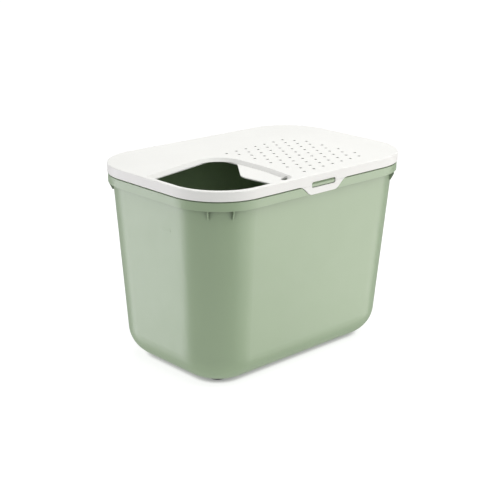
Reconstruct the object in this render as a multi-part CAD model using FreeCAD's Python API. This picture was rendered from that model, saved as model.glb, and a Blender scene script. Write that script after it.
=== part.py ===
import FreeCAD, Part
import math
import os

# Cat litter box with a hood that is entered from above: a tapered tub, a hinged lid with a sunken
# entrance and a drained landing, a snap tab, four feet and a litter scoop hung inside.
# Millimetres, +Z up, the long side along X, the latch side towards -Y, origin at the centre of
# the floor footprint.

Vector = FreeCAD.Vector

# overall sizes
length = 585.0
width = 390.0
height = 415.0

# wall thicknesses
tub_wall = 2.5
lid_wall = 2.5
base_gap = 3.0

# lid
lid_corner = 112.0
skirt_drop = 19.5
top_edge_round = 2.4
skirt_round = 0.8
mouth_round = 1.4
window_edge_round = 0.5
rim_width = 10.0
dish_depth = 8.0
dish_wall = 2.0
dish_slope = 6.0

# entrance and foot shelf: lengths from the left end of the lid, reaches from its front
dish_length = 234.0
shelf_width = 63.5
dish_reach = 203.0
dish_turn = 110.0
lobe_slope = 0.2228
lobe_depth = 63.0

# perforated landing
drain_radius = 3.3
drain_pitch = 29.9
drain_row = 23.4
drain_lift = 1.35
drain_rows = 10
drain_columns = 7
drain_margin = 61.2
drain_front = 33.6
landing_ribs = (-0.5, 3.5, 7.5, 11.5)

# tub wall
collar_drop = 38.5
collar_inset = 1.2
skirt_gap = 2.2
collar_round = 1.0
channel_wall = 2.0
rim_clearance = 1.7
wall_inset = 9.7
wall_corner = 106.0
wall_taper = 0.0674
corner_taper = 0.04
gusset_height = 19.0
gusset_thickness = 2.6
base_round = 64.0

# latch tab and its window
tab_x = -3.0
tab_half_top = 60.5
tab_half_low = 38.0
tab_drop = 39.5
window_half = 33.5
window_top = 14.5
window_low = 26.0
window_round = 4.0
catch_clearance = 1.6
flex_margin = 3.0
flex_drop = 12.0
side_clearance = 1.6
shoulder_round = 24.0
tab_round = 18.0
seam = 0.25
seam_drop = 1.5

# rear hinge
hinge_clearance = 0.6
hinge_drop = 44.5
barrel_radius = 4.0
pin_radius = 2.0
pin_clearance = 0.1
lug_thickness = 4.5
lug_clearance = 0.4

# scoop and its hanger
scoop_reach = 151.0
scoop_width = 84.0
basket_length = 125.0
handle_width = 22.0
hanger_drop = 75.0
hanger_reach = 20.0

# feet
foot_radius = 18.0
stem_radius = 3.0
foot_from_end = 108.0
foot_from_side = 107.0

os.makedirs("parts", exist_ok=True)

half_x = length / 2
half_y = width / 2
skirt_bottom = height - skirt_drop
collar_bottom = height - collar_drop
tab_bottom = height - tab_drop
rim_top = height - lid_wall
ledge = skirt_bottom - skirt_gap
rim_inset = lid_wall + rim_clearance
relief_inset = rim_width - dish_wall - 1.5
flex_half = window_half + flex_margin
hinge_y = half_y - lid_wall - pin_radius - pin_clearance - hinge_clearance
hinge_z = height - hinge_drop
scoop_y = -half_y + scoop_reach
hanger_z = height - hanger_drop
foot_x = half_x - foot_from_end
foot_y = half_y - foot_from_side
drain_first_x = -half_x + dish_length + drain_margin
drain_first_y = -half_y + drain_front + drain_row * (drain_rows - 1)


def outline(corners, z=0.0):
    """Closed wire through (x, y, radius) corners, each one rounded by an arc."""
    spans = []
    for i, (x, y, radius) in enumerate(corners):
        here = Vector(x, y, z)
        before = Vector(corners[i - 1][0], corners[i - 1][1], z) - here
        following = corners[(i + 1) % len(corners)]
        after = Vector(following[0], following[1], z) - here
        before.normalize()
        after.normalize()
        half_angle = before.getAngle(after) / 2
        reach = radius / math.tan(half_angle)
        inward = before + after
        inward.normalize()
        middle = here + inward * (radius / math.sin(half_angle) - radius)
        spans.append((here + before * reach, middle, here + after * reach, radius))
    edges = []
    for i, (start, middle, end, radius) in enumerate(spans):
        if radius > 0:
            edges.append(Part.Arc(start, middle, end).toShape())
        edges.append(Part.makeLine(end, spans[(i + 1) % len(spans)][0]))
    return Part.Wire(edges)


def slab(corners, z_low, z_high):
    return Part.Face(outline(corners, z_low)).extrude(Vector(0, 0, z_high - z_low))


def loft(low_corners, z_low, high_corners, z_high):
    return Part.makeLoft([outline(low_corners, z_low), outline(high_corners, z_high)], True, True)


def panel(corners, y_low, y_high):
    """Upright prism along Y from (x, z, radius) corners."""
    face = Part.Face(outline(corners))
    face.rotate(Vector(0, 0, 0), Vector(1, 0, 0), 90)
    face.translate(Vector(0, y_low, 0))
    return face.extrude(Vector(0, y_high - y_low, 0))


def side_profile(points, x_low, x_high):
    """Prism along X from (y, z) points."""
    loop = [Vector(x_low, y, z) for y, z in points]
    return Part.Face(Part.makePolygon(loop + loop[:1])).extrude(Vector(x_high - x_low, 0, 0))


def end_profile(points, y_low, y_high):
    """Prism along Y from (x, z) points."""
    loop = [Vector(x, y_low, z) for x, z in points]
    return Part.Face(Part.makePolygon(loop + loop[:1])).extrude(Vector(0, y_high - y_low, 0))


def box(x_low, x_high, y_low, y_high, z_low, z_high):
    return Part.makeBox(x_high - x_low, y_high - y_low, z_high - z_low, Vector(x_low, y_low, z_low))


def rod(radius, x_low, x_high, y, z):
    return Part.makeCylinder(radius, x_high - x_low, Vector(x_low, y, z), Vector(1, 0, 0))


def footprint(inset, radius):
    x = half_x - inset
    y = half_y - inset
    return [(-x, -y, radius), (x, -y, radius), (x, y, radius), (-x, y, radius)]


def ring(inset, z_low, z_high):
    return slab(footprint(inset, lid_corner - inset), z_low, z_high)


def edges_at(shape, z):
    """Edges that lie wholly at one height."""
    flat = []
    for edge in shape.Edges:
        bounds = edge.BoundBox
        if abs(bounds.ZMin - z) < 0.01 and abs(bounds.ZMax - z) < 0.01:
            flat.append(edge)
    return flat


def skin_edges(shape, z_high):
    """Edges on the outside of the skirt or its tabs, none higher than z_high."""
    picked = []
    for edge in shape.Edges:
        bounds = edge.BoundBox
        if bounds.ZMax > z_high + 0.01:
            continue
        at_end = abs(bounds.XMin) > half_x - 0.01 and abs(bounds.XMax) > half_x - 0.01
        at_side = abs(bounds.YMin) > half_y - 0.01 and abs(bounds.YMax) > half_y - 0.01
        at_corner = hasattr(edge.Curve, "Radius") and abs(edge.Curve.Radius - lid_corner) < 0.01
        if at_end or at_side or at_corner:
            picked.append(edge)
    return picked


def wall_inset_at(z, extra=0.0):
    return wall_inset + extra + wall_taper * (collar_bottom - z)


def wall_corner_at(z, extra=0.0):
    return wall_corner - extra - corner_taper * (collar_bottom - z)


def tapered_tub(z_low, z_high, extra, low_round):
    low = footprint(wall_inset_at(z_low, extra), wall_corner_at(z_low, extra))
    high = footprint(wall_inset_at(z_high, extra), wall_corner_at(z_high, extra))
    body = loft(low, z_low, high, z_high)
    return body.makeFillet(low_round, edges_at(body, z_low))


def tab_outline(centre, grow, top_z, low_z, low_round):
    """Tab shape under the skirt, (x, z, radius), about centre; grow widens it on both sides."""
    reach = tab_half_top + 25
    left = [
        (-reach, top_z + 6, 0),
        (-reach, top_z, 0),
        (-tab_half_top - grow, top_z, shoulder_round),
        (-tab_half_low - grow, low_z, low_round),
    ]
    right = [(-x, z, radius) for x, z, radius in reversed(left)]
    return [(centre + x, z, radius) for x, z, radius in left + right]


# ---------------------------------------------------------------- lid
def dish_corners(grow, at_floor):
    """Sunken entrance surround: rim side fixed to the lid edge, inner sides sloped."""
    slope = dish_slope if at_floor else 0.0
    rim = rim_width + (1.0 if at_floor else 0.0) - grow
    left = -half_x + rim
    front = -half_y + rim
    right = -half_x + dish_length - slope + grow
    back_rise = lobe_slope * (right - left)
    back = -half_y + dish_reach - slope * 1.13 + grow
    return [
        (left, back, 8.0 + grow),
        (right, back + back_rise, 56.0 - slope + grow),
        (right, -half_y + dish_turn, 200.0),
        (right - 14.0, front, 23.0),
        (left, front, lid_corner - rim),
    ]


def entrance_corners():
    """Through opening in the dish floor; the foot shelf is left standing on its right."""
    floor = dish_corners(0.0, True)
    left = floor[0][0]
    front = floor[4][1]
    lobe = floor[1][0] - 1.0
    back = floor[0][1] + lobe_slope * (lobe - left)
    shelf = floor[1][0] - shelf_width
    step = lobe - shelf
    return [
        (left, floor[0][1], 3.0),
        (lobe, back, 42.0),
        (lobe, back - lobe_depth, 16.0),
        (shelf, back - lobe_depth - 1.23 * step, 40.0),
        (shelf + 10.0, front, 13.0),
        (left, front, floor[4][2]),
    ]


lid = ring(0.0, skirt_bottom, height)
lid = lid.makeFillet(top_edge_round, edges_at(lid, height))
lid = lid.cut(ring(lid_wall, skirt_bottom - 1, rim_top))
lid = lid.fuse(panel(
    tab_outline(tab_x, 0, skirt_bottom, tab_bottom, tab_round), -half_y, -half_y + lid_wall
))
lid = lid.fuse(panel(
    tab_outline(0, 0, skirt_bottom, hinge_z, 3), half_y - lid_wall, half_y
)).removeSplitter()
lid = lid.makeFillet(skirt_round, skin_edges(lid, skirt_bottom))
dish_floor = height - dish_depth
bowl = loft(
    dish_corners(dish_wall, True), dish_floor - dish_wall, dish_corners(dish_wall, False), height - 0.5
)
dish = loft(dish_corners(0.0, True), dish_floor, dish_corners(0.0, False), height)
lid = lid.fuse(bowl).cut(dish)
mouth = []
for edge in edges_at(lid, height):
    bounds = edge.BoundBox
    if bounds.XMin > -half_x + 5 and bounds.XMax < 0 and bounds.YMin > -half_y + 5:
        mouth.append(edge)
lid = lid.makeFillet(mouth_round, mouth)
lid = lid.cut(slab(entrance_corners(), dish_floor - 8, dish_floor + 0.5))

# scoop-cord hole, half in the foot shelf and half in the slope beside it
cord_radius = 6.5
cord_x = -half_x + dish_length - dish_slope - 13.0
cord_y = -half_y + rim_width + 26.0
lid = lid.cut(Part.makeCylinder(cord_radius, 20, Vector(cord_x, cord_y, dish_floor - 8)))

# staggered drain holes over the landing
drains = []
for row in range(drain_rows):
    first = -3 if row == 0 else -1 - row % 2
    for column in range(drain_columns):
        step = first + 2 * column
        x = drain_first_x + drain_pitch / 2 * step
        y = drain_first_y - drain_row * row + drain_lift * step
        drains.append(Part.makeCylinder(drain_radius, lid_wall + 2, Vector(x, y, rim_top - 1)))
lid = lid.cut(Part.makeCompound(drains))

# stiffening ribs between the drain columns
for step in landing_ribs:
    x = drain_first_x + drain_pitch / 2 * step
    lid = lid.fuse(box(x - 1, x + 1, -half_y + 28, half_y - 50, rim_top - 6, rim_top + 0.5))

# front tab: the flexing part is a piece of its own, seamed off from the skirt
def window_panel(shrink):
    """Rounded window shape as a prism through the front wall."""
    half = window_half - shrink
    low = height - window_low + shrink
    high = height - window_top - shrink
    corner = window_round - shrink
    left = tab_x - half
    right = tab_x + half
    corners = [(left, low, corner), (right, low, corner), (right, high, corner), (left, high, corner)]
    return panel(corners, -half_y - 5, -half_y + 10)


window = window_panel(0.0)
flex_top = height - flex_drop


def latch_region(grow):
    """Space of the flexing piece: a tongue in the skirt and all of the tab below it."""
    tongue = box(
        tab_x - flex_half - grow, tab_x + flex_half + grow, -half_y - 5, -half_y + lid_wall + 0.5,
        tab_bottom - 5, flex_top + grow
    )
    below = box(
        -tab_half_top - 25, tab_half_top + 25, -half_y - 5, -half_y + lid_wall + 0.5,
        tab_bottom - 5, skirt_bottom - seam_drop + grow
    )
    return tongue.fuse(below)


latch = lid.common(latch_region(0.0)).cut(window)
lid = lid.cut(latch_region(seam))
window_edges = []
for edge in latch.Edges:
    bounds = edge.BoundBox
    flat = abs(bounds.YMin + half_y) < 0.01 and abs(bounds.YMax + half_y) < 0.01
    reach = max(abs(bounds.XMin - tab_x), abs(bounds.XMax - tab_x))
    inside = reach < window_half + 0.01
    level = bounds.ZMin > height - window_low - 0.01 and bounds.ZMax < height - window_top + 0.01
    if flat and inside and level:
        window_edges.append(edge)
latch = latch.makeFillet(window_edge_round, window_edges)

# the rear tab carries the hinge barrel under the collar
barrel_half = tab_half_low - 1.0
lug_near = barrel_half + 0.6
lug_far = lug_near + lug_thickness
barrel = rod(barrel_radius, -barrel_half, barrel_half, hinge_y, hinge_z)
web = box(-barrel_half, barrel_half, hinge_y, half_y - 0.5, hinge_z, collar_bottom - 0.6)
web = web.common(rod(barrel_radius + 2.0, -barrel_half, barrel_half, hinge_y, hinge_z))
pockets = []
for low, high in ((-lug_far, -lug_near), (lug_near, lug_far)):
    pockets.append(rod(barrel_radius + 0.4 + lug_clearance, low - 0.5, high + 0.5, hinge_y, hinge_z))
lid = lid.cut(Part.makeCompound(pockets)).fuse(barrel).fuse(web)
lid = lid.cut(rod(pin_radius + pin_clearance, -100, 100, hinge_y, hinge_z)).removeSplitter()

# ---------------------------------------------------------------- tub
channel_top = height - 17.0
relief_low = dish_floor - dish_wall - 1.5
tub = tapered_tub(base_gap, rim_top, 0.0, base_round)
collar = ring(collar_inset, collar_bottom, ledge)
collar = collar.makeFillet(collar_round, edges_at(collar, ledge))
collar = collar.fuse(ring(rim_inset, ledge - 1, rim_top))
collar = collar.cut(ring(rim_inset + channel_wall, collar_bottom - 1, channel_top))
for side, centre, low_z in ((-1, tab_x, tab_bottom), (1, 0.0, hinge_z)):
    recess = panel(
        tab_outline(centre, side_clearance, skirt_bottom, low_z, 0), side * half_y - 6, side * half_y + 6
    )
    keep = box(-200, 200, -half_y + rim_inset, half_y - rim_inset, 0, height)
    collar = collar.cut(recess.cut(keep))
tub = tub.fuse(collar)
cavity = tapered_tub(base_gap + tub_wall, rim_top + 1, tub_wall, base_round - tub_wall)
tub = tub.cut(cavity)
tub = tub.cut(ring(relief_inset, relief_low, rim_top + 1))

# paired gussets under the collar at each corner, nearer to its long side
centre_x = half_x - lid_corner
centre_y = half_y - lid_corner
gusset_low = collar_bottom - gusset_height
for side_x in (-1, 1):
    for side_y in (-1, 1):
        diagonal = math.degrees(math.atan2(side_y, side_x))
        for swing in (-7.0, 19.0):
            gusset = end_profile(
                [
                    (lid_corner - 15.0, gusset_low),
                    (lid_corner - 9.5, gusset_low),
                    (lid_corner - 3.0, collar_bottom - 6),
                    (lid_corner - 3.0, collar_bottom + 4),
                    (lid_corner - 13.5, collar_bottom + 4),
                ],
                -gusset_thickness / 2,
                gusset_thickness / 2,
            )
            gusset.rotate(Vector(0, 0, 0), Vector(0, 0, 1), diagonal + swing * side_x * side_y)
            gusset.translate(Vector(side_x * centre_x, side_y * centre_y, 0))
            tub = tub.fuse(gusset)

# catch behind the latch window, sloped on top so the tab snaps over it
catch_low = height - window_low
catch_high = height - window_top - catch_clearance
catch_bar = side_profile(
    [
        (-half_y + rim_inset + 1, catch_low),
        (-half_y + 1.5, catch_low),
        (-half_y + 1.5, catch_high - 3.5),
        (-half_y + rim_inset - 0.5, catch_high),
        (-half_y + rim_inset + 1, catch_high),
    ],
    tab_x - window_half,
    tab_x + window_half,
)
tub = tub.fuse(catch_bar.common(window_panel(catch_clearance)))

# hinge lugs with stub pins
for side in (-1, 1):
    near = side * lug_near
    far = side * lug_far
    tip = side * (barrel_half - 8.0)
    lug = rod(barrel_radius + 0.4, min(near, far), max(near, far), hinge_y, hinge_z)
    lug = lug.fuse(box(
        min(near, far), max(near, far), hinge_y - 6.5, hinge_y + 2.5, hinge_z - 1, collar_bottom + 1
    ))
    pin = rod(pin_radius, min(near, tip), max(near, tip), hinge_y, hinge_z)
    pin = pin.fuse(rod(pin_radius, min(near, far), max(near, far), hinge_y, hinge_z))
    tub = tub.fuse(lug).fuse(pin)

# scoop hanger: an arm with an upstanding lip on the left end wall
hanger_half = handle_width / 2 + 3
hanger_wall = -half_x + wall_inset_at(hanger_z, 1.0)
lip_front = hanger_wall + hanger_reach
tub = tub.fuse(end_profile(
    [
        (hanger_wall, hanger_z - 22),
        (lip_front, hanger_z - 11),
        (lip_front, hanger_z),
        (lip_front - 3, hanger_z),
        (lip_front - 3, hanger_z - 8),
        (hanger_wall, hanger_z - 8),
    ],
    scoop_y - hanger_half,
    scoop_y + hanger_half,
))

# holes for the foot stems
for side_x in (-1, 1):
    for side_y in (-1, 1):
        tub = tub.cut(Part.makeCylinder(
            stem_radius, 12, Vector(side_x * foot_x, side_y * foot_y, base_gap - 2)
        ))
tub = tub.removeSplitter()

# ---------------------------------------------------------------- scoop
back = lip_front + 1.0
shaft_top = hanger_z + 3.5
basket_top = hanger_z - 105.0
basket_low = basket_top - basket_length
half_handle = handle_width / 2
half_scoop = scoop_width / 2
handle = box(back, back + 6, scoop_y - half_handle, scoop_y + half_handle, basket_top - 12, shaft_top)
handle = handle.makeFillet(2.4, [edge for edge in handle.Edges if edge.BoundBox.ZLength > 50])
hook = box(back - 8, back + 3, scoop_y - half_handle, scoop_y + half_handle, hanger_z, shaft_top)
hook = hook.fuse(box(
    back - 8, back - 5, scoop_y - half_handle, scoop_y + half_handle, hanger_z - 6.5, shaft_top
))
basket = loft(
    [
        (back + 2.5, scoop_y - half_scoop, 4),
        (back + 18, scoop_y - half_scoop, 4),
        (back + 18, scoop_y + half_scoop, 4),
        (back + 2.5, scoop_y + half_scoop, 4),
    ],
    basket_low,
    [
        (back + 2.5, scoop_y - half_scoop + 6, 4),
        (back + 36, scoop_y - half_scoop + 6, 4),
        (back + 36, scoop_y + half_scoop - 6, 4),
        (back + 2.5, scoop_y + half_scoop - 6, 4),
    ],
    basket_top,
)
hollow = loft(
    [
        (back + 5, scoop_y - half_scoop + 2.5, 2),
        (back + 60, scoop_y - half_scoop + 2.5, 2),
        (back + 60, scoop_y + half_scoop - 2.5, 2),
        (back + 5, scoop_y + half_scoop - 2.5, 2),
    ],
    basket_low - 1,
    [
        (back + 5, scoop_y - half_scoop + 8.5, 2),
        (back + 60, scoop_y - half_scoop + 8.5, 2),
        (back + 60, scoop_y + half_scoop - 8.5, 2),
        (back + 5, scoop_y + half_scoop - 8.5, 2),
    ],
    basket_top - 2.5,
)
basket = basket.cut(hollow)
slots = []
slot_count = 7
for i in range(slot_count):
    slot_y = scoop_y + (i - (slot_count - 1) / 2) * (scoop_width - 22) / (slot_count - 1)
    slots.append(box(back, back + 7, slot_y - 2.5, slot_y + 2.5, basket_low + 14, basket_top - 16))
basket = basket.cut(Part.makeCompound(slots))
scoop = handle.fuse(hook).fuse(basket).removeSplitter()

# ---------------------------------------------------------------- feet
feet = {}
for side_x, end_name in ((-1, "left"), (1, "right")):
    for side_y, side_name in ((-1, "front"), (1, "rear")):
        place = Vector(side_x * foot_x, side_y * foot_y, 0)
        pad = Part.makeCylinder(foot_radius, base_gap, place)
        pad = pad.makeFillet(0.8, edges_at(pad, 0))
        stem = Part.makeCylinder(stem_radius, tub_wall, place + Vector(0, 0, base_gap))
        head = Part.makeCone(
            stem_radius + 1.4, stem_radius - 0.8, 2.4, place + Vector(0, 0, base_gap + tub_wall)
        )
        feet["foot_" + side_name + "_" + end_name] = pad.fuse(stem).fuse(head).removeSplitter()

nodes = {"tub": tub, "lid": lid, "latch_tab": latch, "scoop": scoop}
nodes.update(feet)
for name, shape in nodes.items():
    shape.exportStep("parts/" + name + ".step")
    print(name, len(shape.Solids), shape.isValid(), round(shape.Volume / 1000, 1))
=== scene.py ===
import bpy
import bmesh
import math
from mathutils import Matrix, Vector

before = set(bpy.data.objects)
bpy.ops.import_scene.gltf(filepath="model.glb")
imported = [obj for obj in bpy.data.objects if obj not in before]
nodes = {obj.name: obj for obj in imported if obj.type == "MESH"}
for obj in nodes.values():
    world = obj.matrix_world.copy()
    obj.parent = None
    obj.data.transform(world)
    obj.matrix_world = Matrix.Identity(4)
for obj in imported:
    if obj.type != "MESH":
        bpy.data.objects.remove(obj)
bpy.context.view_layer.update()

SCENE = bpy.context.scene
SCENE.view_settings.view_transform = "Standard"
SCENE.view_settings.look = "None"

WHITE = (1.0, 1.0, 1.0)

# Camera: angles in degrees, distances in metres, and the lens in steps of a frame 500 wide.
CAMERA_AZIMUTH = -43.874
CAMERA_ELEVATION = 18.497
CAMERA_ROLL = 0.814
CAMERA_DISTANCE = 2.3817
CAMERA_AIM = (0.0, 0.0, 0.2)
FRAME_WIDTH = 500
FOCAL_LENGTH = 1118.65
SHIFT_RIGHT = -4.925
SHIFT_UP = 2.89
SENSOR_WIDTH = 36.0

# Soft boxes: name, place, aim, width, height, watts, tint. The side boxes reach below the
# floor, which gloss sees through, so that the upright walls mirror them down to the base.
COOL = (0.95, 0.90, 1.0)
WARM = (1.0, 0.95, 0.955)
SOFT_BOXES = (
    ("light_overhead", (0.3, -0.25, 2.4), (0.0, 0.0, 0.3), 2.8, 2.8, 54.0, WHITE),
    ("light_left", (-1.75, 1.9, -0.2), (0.0, 0.0, -0.2), 2.0, 2.4, 36.0, COOL),
    ("light_left_low", (-1.75, 1.9, -2.0), (0.0, 0.0, -2.0), 2.0, 1.2, 7.0, COOL),
    ("light_right", (2.15, -1.75, -0.2), (0.0, 0.0, -0.2), 2.0, 2.4, 30.0, WARM),
    ("light_right_low", (2.15, -1.75, -2.0), (0.0, 0.0, -2.0), 2.0, 1.2, 6.0, WARM),
    ("light_front", (0.70, -2.75, -0.2), (0.0, 0.0, -0.2), 1.6, 2.4, 14.0, (1.0, 0.97, 0.97)),
)
INSIDE_LIGHT = ("light_inside", (-0.05, 0.0, 0.385), (-0.05, 0.0, 0.0), 0.2, 0.2, 0.06, WHITE)

BACKDROP_STRENGTH = 1.05
AMBIENT_TINT = (0.97, 0.985, 1.0)
AMBIENT_STRENGTH = 0.42

FLOOR_RADIUS = 1.7
FLOOR_GREY = (0.3, 0.3, 0.3)
FLOOR_GLOW = 0.84
# Glow and reach of the floor's painted contact shadow.
CONTACT_SHADOW_GLOW = 0.25
CONTACT_SHADOW_REACH = 0.012


# ---------------------------------------------------------------- camera, light and floor

def place_camera():
    """Standing off the corner between the left end and the latch side, looking slightly down."""
    azimuth = math.radians(CAMERA_AZIMUTH)
    elevation = math.radians(CAMERA_ELEVATION)
    roll = math.radians(CAMERA_ROLL)
    data = bpy.data.cameras.new("camera")
    data.sensor_width = SENSOR_WIDTH
    data.lens = SENSOR_WIDTH * FOCAL_LENGTH / FRAME_WIDTH
    data.shift_x = SHIFT_RIGHT / FRAME_WIDTH
    data.shift_y = SHIFT_UP / FRAME_WIDTH
    data.clip_start = 0.05
    data.clip_end = 60.0
    camera = bpy.data.objects.new("camera", data)
    SCENE.collection.objects.link(camera)
    back = Vector((
        math.sin(azimuth) * math.cos(elevation),
        -math.cos(azimuth) * math.cos(elevation),
        math.sin(elevation),
    ))
    level = Vector((math.cos(azimuth), math.sin(azimuth), 0.0))
    upright = back.cross(level)
    right = level * math.cos(roll) + upright * math.sin(roll)
    top = upright * math.cos(roll) - level * math.sin(roll)
    turn = Matrix((right, top, back)).transposed().to_4x4()
    place = Vector(CAMERA_AIM) + back * CAMERA_DISTANCE
    camera.matrix_world = Matrix.Translation(place) @ turn
    SCENE.camera = camera


def soft_box(name, place, aim, width, height, watts, tint):
    """Rectangular lamp standing at place and facing aim."""
    data = bpy.data.lights.new(name, "AREA")
    data.shape = "RECTANGLE"
    data.size = width
    data.size_y = height
    data.energy = watts
    data.color = tint
    lamp = bpy.data.objects.new(name, data)
    SCENE.collection.objects.link(lamp)
    lamp.location = place
    facing = Vector(aim) - Vector(place)
    lamp.rotation_euler = facing.to_track_quat("-Z", "Y").to_euler()
    return lamp


def light_scene():
    """The soft boxes, and a small fill under the lid that only lights what is inside."""
    for box in SOFT_BOXES:
        soft_box(*box)
    inside = soft_box(*INSIDE_LIGHT)
    inside.visible_camera = False
    inside.visible_glossy = False


def hang_backdrop():
    """White to look at, and a weak, slightly cool light for everything else."""
    world = bpy.data.worlds.new("studio")
    SCENE.world = world
    world.use_nodes = True
    world.node_tree.nodes.clear()
    w = Wiring(world.node_tree)
    seen = w.add("Background")
    seen.inputs["Color"].default_value = (*WHITE, 1.0)
    seen.inputs["Strength"].default_value = BACKDROP_STRENGTH
    felt = w.add("Background")
    felt.inputs["Color"].default_value = (*AMBIENT_TINT, 1.0)
    felt.inputs["Strength"].default_value = AMBIENT_STRENGTH
    mix = w.add("MixShader")
    w.join(w.add("LightPath").outputs["Is Camera Ray"], mix.inputs["Fac"])
    w.join(felt.outputs["Background"], mix.inputs[1])
    w.join(seen.outputs["Background"], mix.inputs[2])
    w.join(mix.outputs["Shader"], w.add("OutputWorld").inputs["Surface"])


def lay_floor():
    """White studio paper that ends inside the white of the backdrop, with a painted contact shadow
    where things touch it.
    """
    mesh = bpy.data.meshes.new("floor")
    form = bmesh.new()
    bmesh.ops.create_circle(form, cap_ends=True, segments=96, radius=FLOOR_RADIUS)
    form.to_mesh(mesh)
    form.free()
    floor = bpy.data.objects.new("floor", mesh)
    SCENE.collection.objects.link(floor)
    paper = bpy.data.materials.new("floor_paper")
    paper.use_nodes = True
    w = Wiring(paper.node_tree)
    shader = paper.node_tree.nodes["Principled BSDF"]
    shader.inputs["Base Color"].default_value = (*FLOOR_GREY, 1.0)
    shader.inputs["Roughness"].default_value = 0.9
    shader.inputs["Specular IOR Level"].default_value = 0.2
    shader.inputs["Emission Color"].default_value = (*WHITE, 1.0)
    # Painted shadow: ambient occlusion turns the floor's glow down near anything standing on it.
    painted_contact_shadow = w.add("AmbientOcclusion", samples=16)
    painted_contact_shadow.inputs["Distance"].default_value = CONTACT_SHADOW_REACH
    glow = w.ramp(painted_contact_shadow.outputs["AO"], 0.1, 0.8, CONTACT_SHADOW_GLOW, FLOOR_GLOW)
    w.join(glow, shader.inputs["Emission Strength"])
    mesh.materials.append(paper)
    floor.visible_glossy = False


# ---------------------------------------------------------------- shader groups

class Wiring:
    """Short calls for adding nodes to one node tree and joining them."""

    def __init__(self, tree):
        self.tree = tree

    def add(self, kind, **settings):
        node = self.tree.nodes.new("ShaderNode" + kind)
        for name, value in settings.items():
            setattr(node, name, value)
        return node

    def join(self, source, target):
        self.tree.links.new(source, target)

    def feed(self, value, socket):
        if isinstance(value, (int, float)):
            socket.default_value = value
        else:
            self.join(value, socket)

    def maths(self, operation, first, second=0.0, clamp=False):
        node = self.add("Math", operation=operation, use_clamp=clamp)
        self.feed(first, node.inputs[0])
        self.feed(second, node.inputs[1])
        return node.outputs["Value"]

    def ramp(self, value, from_low, from_high, to_low=0.0, to_high=1.0):
        node = self.add("MapRange", interpolation_type="SMOOTHSTEP")
        self.feed(value, node.inputs["Value"])
        self.feed(from_low, node.inputs["From Min"])
        self.feed(from_high, node.inputs["From Max"])
        self.feed(to_low, node.inputs["To Min"])
        self.feed(to_high, node.inputs["To Max"])
        return node.outputs["Result"]

    def noise(self, place, scale, detail=2.0, roughness=0.5):
        node = self.add("TexNoise")
        self.join(place, node.inputs["Vector"])
        self.feed(scale, node.inputs["Scale"])
        node.inputs["Detail"].default_value = detail
        node.inputs["Roughness"].default_value = roughness
        return node.outputs["Fac"]

    def stretched(self, place, turn, stretch):
        node = self.add("Mapping")
        self.join(place, node.inputs["Vector"])
        node.inputs["Rotation"].default_value = turn
        node.inputs["Scale"].default_value = stretch
        return node.outputs["Vector"]


def new_group(name, takes, gives):
    """Empty shader group with float inputs (name, default) and float outputs."""
    tree = bpy.data.node_groups.new(name, "ShaderNodeTree")
    for label, default in takes:
        socket = tree.interface.new_socket(
            name=label, in_out="INPUT", socket_type="NodeSocketFloat")
        socket.default_value = default
    for label in gives:
        tree.interface.new_socket(name=label, in_out="OUTPUT", socket_type="NodeSocketFloat")
    return Wiring(tree), tree.nodes.new("NodeGroupInput"), tree.nodes.new("NodeGroupOutput")


def build_moulded_skin():
    """Fine spark-eroded grain, slow waviness of a cooled wall, and drifting gloss and shade."""
    w, given, result = new_group(
        "moulded_skin",
        (("Grain Scale", 900.0), ("Grain Depth", 0.5), ("Wave Depth", 0.5)),
        ("Height", "Shade", "Gloss"),
    )
    place = w.add("TexCoord").outputs["Object"]
    grain = w.noise(place, given.outputs["Grain Scale"], 3.0, 0.6)
    wave = w.noise(place, 9.0, 0.0)
    height = w.maths("ADD", w.maths("MULTIPLY", grain, given.outputs["Grain Depth"]),
                     w.maths("MULTIPLY", wave, given.outputs["Wave Depth"]))
    w.join(height, result.inputs["Height"])
    w.join(w.ramp(w.noise(place, 5.5, 3.0), 0.3, 0.7), result.inputs["Shade"])
    w.join(w.ramp(w.noise(place, 31.0, 4.0, 0.65), 0.3, 0.7), result.inputs["Gloss"])
    return w.tree


def build_edge_wear_and_highlight():
    """Mask of outer corners and rims, for wear and painted edge highlights, broken up where hands and
    paws haven't polished them.
    """
    w, given, result = new_group("edge_wear_and_highlight", (("Width", 0.002), ("Breakup", 0.6)), ("Mask",))
    bevel = w.add("Bevel", samples=6)
    w.join(given.outputs["Width"], bevel.inputs["Radius"])
    flat = w.add("NewGeometry").outputs["Normal"]
    dot = w.add("VectorMath", operation="DOT_PRODUCT")
    w.join(bevel.outputs["Normal"], dot.inputs[0])
    w.join(flat, dot.inputs[1])
    edge = w.ramp(dot.outputs["Value"], 0.995, 0.8)
    place = w.add("TexCoord").outputs["Object"]
    patches = w.ramp(w.noise(place, 60.0, 4.0, 0.7), 0.35, 0.65)
    kept = w.maths("SUBTRACT", 1.0, w.maths("MULTIPLY", patches, given.outputs["Breakup"]))
    w.join(w.maths("MULTIPLY", edge, kept, clamp=True), result.inputs["Mask"])
    return w.tree


def build_fine_scuffs():
    """Hairline scuffs in three directions that catch the light as paler, rougher lines."""
    w, given, result = new_group("fine_scuffs", (("Scale", 40.0), ("Cover", 0.4)), ("Mask",))
    place = w.add("TexCoord").outputs["Object"]
    lines = None
    for turn in ((0.3, 0.2, 0.5), (0.1, 0.4, 2.1), (0.5, 0.1, 3.7)):
        along = w.stretched(place, turn, (1.0, 0.06, 1.0))
        hair = w.noise(along, w.maths("MULTIPLY", given.outputs["Scale"], 9.0), 1.0)
        line = w.ramp(hair, 0.68, 0.78)
        lines = line if lines is None else w.maths("MAXIMUM", lines, line)
    where = w.ramp(w.noise(place, given.outputs["Scale"], 2.0), 0.55, 0.75)
    shown = w.maths("MULTIPLY", lines, where)
    shown = w.maths("MULTIPLY", shown, given.outputs["Cover"], clamp=True)
    w.join(shown, result.inputs["Mask"])
    return w.tree


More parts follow.
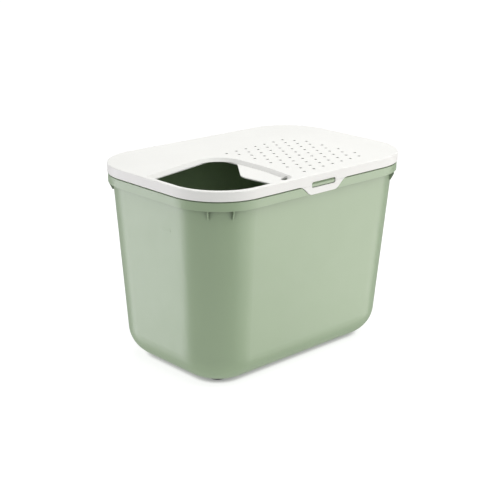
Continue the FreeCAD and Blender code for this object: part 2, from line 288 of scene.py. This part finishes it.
def build_settled_dust():
    """Thin litter dust on faces that look up, thicker in patches."""
    w, given, result = new_group("settled_dust", (("Amount", 0.1), ("Patch Scale", 18.0)), ("Mask",))
    up = w.add("SeparateXYZ")
    w.join(w.add("NewGeometry").outputs["Normal"], up.inputs["Vector"])
    level = w.ramp(up.outputs["Z"], 0.6, 0.98)
    place = w.add("TexCoord").outputs["Object"]
    patches = w.ramp(w.noise(place, given.outputs["Patch Scale"], 4.0, 0.6), 0.35, 0.75)
    specks = w.ramp(w.noise(place, 620.0, 1.0), 0.62, 0.7)
    cloud = w.maths("MULTIPLY", patches, w.maths("ADD", specks, 0.7))
    dust = w.maths("MULTIPLY", level, cloud)
    dust = w.maths("MULTIPLY", dust, given.outputs["Amount"], clamp=True)
    w.join(dust, result.inputs["Mask"])
    return w.tree


def build_painted_crevice_shade():
    """Mask of inside corners, grooves and hole rims from ambient occlusion, used to paint shade into
    the colour there.
    """
    w, given, result = new_group("painted_crevice_shade", (("Distance", 0.01),), ("Mask",))
    hidden = w.add("AmbientOcclusion", samples=8, only_local=True)
    w.join(given.outputs["Distance"], hidden.inputs["Distance"])
    w.join(w.ramp(hidden.outputs["AO"], 1.0, 0.35), result.inputs["Mask"])
    return w.tree


# ---------------------------------------------------------------- materials

# How far the plastic's own colour is turned down in its slow clouds, and in the painted shade of its
# corners.
CLOUD_TONE = 0.975
PAINTED_SHADE_TONE = 0.45


def plastic(name, colour, wear_and_highlight, dusty, roughness, shine, skin, edge_rub_and_highlight, scuff, dust, painted_corner_shade):
    """Moulded plastic: base colour with pale edges for wear and painted highlights, scuffs, dust and
    painted shade in its corners over it.

    skin is (grain scale, grain depth, wave depth), edge_rub_and_highlight is (width, strength), scuff
    is (scale, cover), dust is (amount, patch scale) and painted_corner_shade is (distance, strength).
    """
    paint = bpy.data.materials.new(name)
    paint.use_nodes = True
    w = Wiring(paint.node_tree)
    shader = paint.node_tree.nodes["Principled BSDF"]
    surface = w.add("Group", node_tree=GROUPS["skin"])
    for label, value in zip(("Grain Scale", "Grain Depth", "Wave Depth"), skin):
        surface.inputs[label].default_value = value
    edges = w.add("Group", node_tree=GROUPS["edge_rub_and_highlight"])
    edges.inputs["Width"].default_value = edge_rub_and_highlight[0]
    scuffs = w.add("Group", node_tree=GROUPS["scuffs"])
    scuffs.inputs["Scale"].default_value = scuff[0]
    scuffs.inputs["Cover"].default_value = scuff[1]
    film = w.add("Group", node_tree=GROUPS["dust"])
    film.inputs["Amount"].default_value = dust[0]
    film.inputs["Patch Scale"].default_value = dust[1]
    corners = w.add("Group", node_tree=GROUPS["painted_corner_shade"])
    corners.inputs["Distance"].default_value = painted_corner_shade[0]

    def blend(factor, under, over):
        mix = w.add("Mix", data_type="RGBA", blend_type="MIX")
        w.feed(factor, mix.inputs["Factor"])
        for value, socket in ((under, mix.inputs["A"]), (over, mix.inputs["B"])):
            if isinstance(value, tuple):
                socket.default_value = (*value, 1.0)
            else:
                w.join(value, socket)
        return mix.outputs["Result"]

    clouded = tuple(c * CLOUD_TONE for c in colour)
    body = blend(surface.outputs["Shade"], clouded, colour)
    # Wear and painted highlight: outer edges are paled towards the lighter colour.
    rubbed_and_highlighted = w.maths("MULTIPLY", edges.outputs["Mask"], edge_rub_and_highlight[1])
    body = blend(rubbed_and_highlighted, body, wear_and_highlight)
    body = blend(w.maths("MULTIPLY", scuffs.outputs["Mask"], 0.35), body, wear_and_highlight)
    body = blend(film.outputs["Mask"], body, dusty)
    # Painted shade: the colour is darkened where ambient occlusion finds inside corners and hollows.
    painted_shade_amount = w.maths("MULTIPLY", corners.outputs["Mask"], painted_corner_shade[1])
    body = blend(painted_shade_amount, body, tuple(c * PAINTED_SHADE_TONE for c in colour))
    w.join(body, shader.inputs["Base Color"])
    gloss = w.ramp(surface.outputs["Gloss"], 0.0, 1.0, roughness - 0.015, roughness + 0.02)
    gloss = w.maths("ADD", gloss, w.maths("MULTIPLY", scuffs.outputs["Mask"], 0.2))
    gloss = w.maths("SUBTRACT", gloss, w.maths("MULTIPLY", rubbed_and_highlighted, 0.12))
    gloss = w.maths("ADD", gloss, w.maths("MULTIPLY", film.outputs["Mask"], 0.5), clamp=True)
    w.join(gloss, shader.inputs["Roughness"])
    relief = w.maths("ADD", surface.outputs["Height"], w.maths("MULTIPLY", film.outputs["Mask"], 0.3))
    relief = w.maths("SUBTRACT", relief, w.maths("MULTIPLY", scuffs.outputs["Mask"], 0.25))
    shader.inputs["Specular IOR Level"].default_value = shine
    bump = w.add("Bump")
    bump.inputs["Strength"].default_value = 0.35
    bump.inputs["Distance"].default_value = 0.0006
    w.join(relief, bump.inputs["Height"])
    w.join(bump.outputs["Normal"], shader.inputs["Normal"])
    return paint


def dress(node, paint):
    """Give a CAD node one finish all over."""
    mesh = nodes[node].data
    mesh.materials.clear()
    mesh.materials.append(paint)


GROUPS = {
    "skin": build_moulded_skin(),
    "edge_rub_and_highlight": build_edge_wear_and_highlight(),
    "scuffs": build_fine_scuffs(),
    "dust": build_settled_dust(),
    "painted_corner_shade": build_painted_crevice_shade(),
}

sage = plastic(
    "sage_polypropylene",
    colour=(0.298, 0.396, 0.240), wear_and_highlight=(0.45, 0.54, 0.37), dusty=(0.60, 0.60, 0.55),
    roughness=0.34, shine=1.0,
    skin=(850.0, 0.35, 0.06), edge_rub_and_highlight=(0.0016, 0.5), scuff=(30.0, 0.25),
    dust=(0.10, 16.0), painted_corner_shade=(0.032, 0.8),
)
white = plastic(
    "white_polypropylene",
    colour=(0.83, 0.825, 0.79), wear_and_highlight=(0.90, 0.90, 0.885), dusty=(0.66, 0.64, 0.60),
    roughness=0.45, shine=0.3,
    skin=(950.0, 0.35, 0.06), edge_rub_and_highlight=(0.0014, 0.6), scuff=(34.0, 0.25),
    dust=(0.05, 14.0), painted_corner_shade=(0.034, 0.8),
)
scoop_white = plastic(
    "scoop_polypropylene",
    colour=(0.78, 0.79, 0.76), wear_and_highlight=(0.86, 0.87, 0.85), dusty=(0.58, 0.56, 0.52),
    roughness=0.36, shine=0.5,
    skin=(1100.0, 0.4, 0.4), edge_rub_and_highlight=(0.0012, 0.7), scuff=(60.0, 0.6),
    dust=(0.25, 30.0), painted_corner_shade=(0.010, 0.5),
)
rubber = plastic(
    "foot_rubber",
    colour=(0.035, 0.035, 0.036), wear_and_highlight=(0.09, 0.09, 0.09), dusty=(0.30, 0.29, 0.27),
    roughness=0.74, shine=0.3,
    skin=(1500.0, 0.9, 0.4), edge_rub_and_highlight=(0.0008, 0.5), scuff=(90.0, 0.5),
    dust=(0.2, 40.0), painted_corner_shade=(0.004, 0.3),
)
dress("tub", sage)
dress("lid", white)
dress("latch_tab", white)
dress("scoop", scoop_white)
for corner in ("front_left", "front_right", "rear_left", "rear_right"):
    dress("foot_" + corner, rubber)

place_camera()
light_scene()
hang_backdrop()
lay_floor()
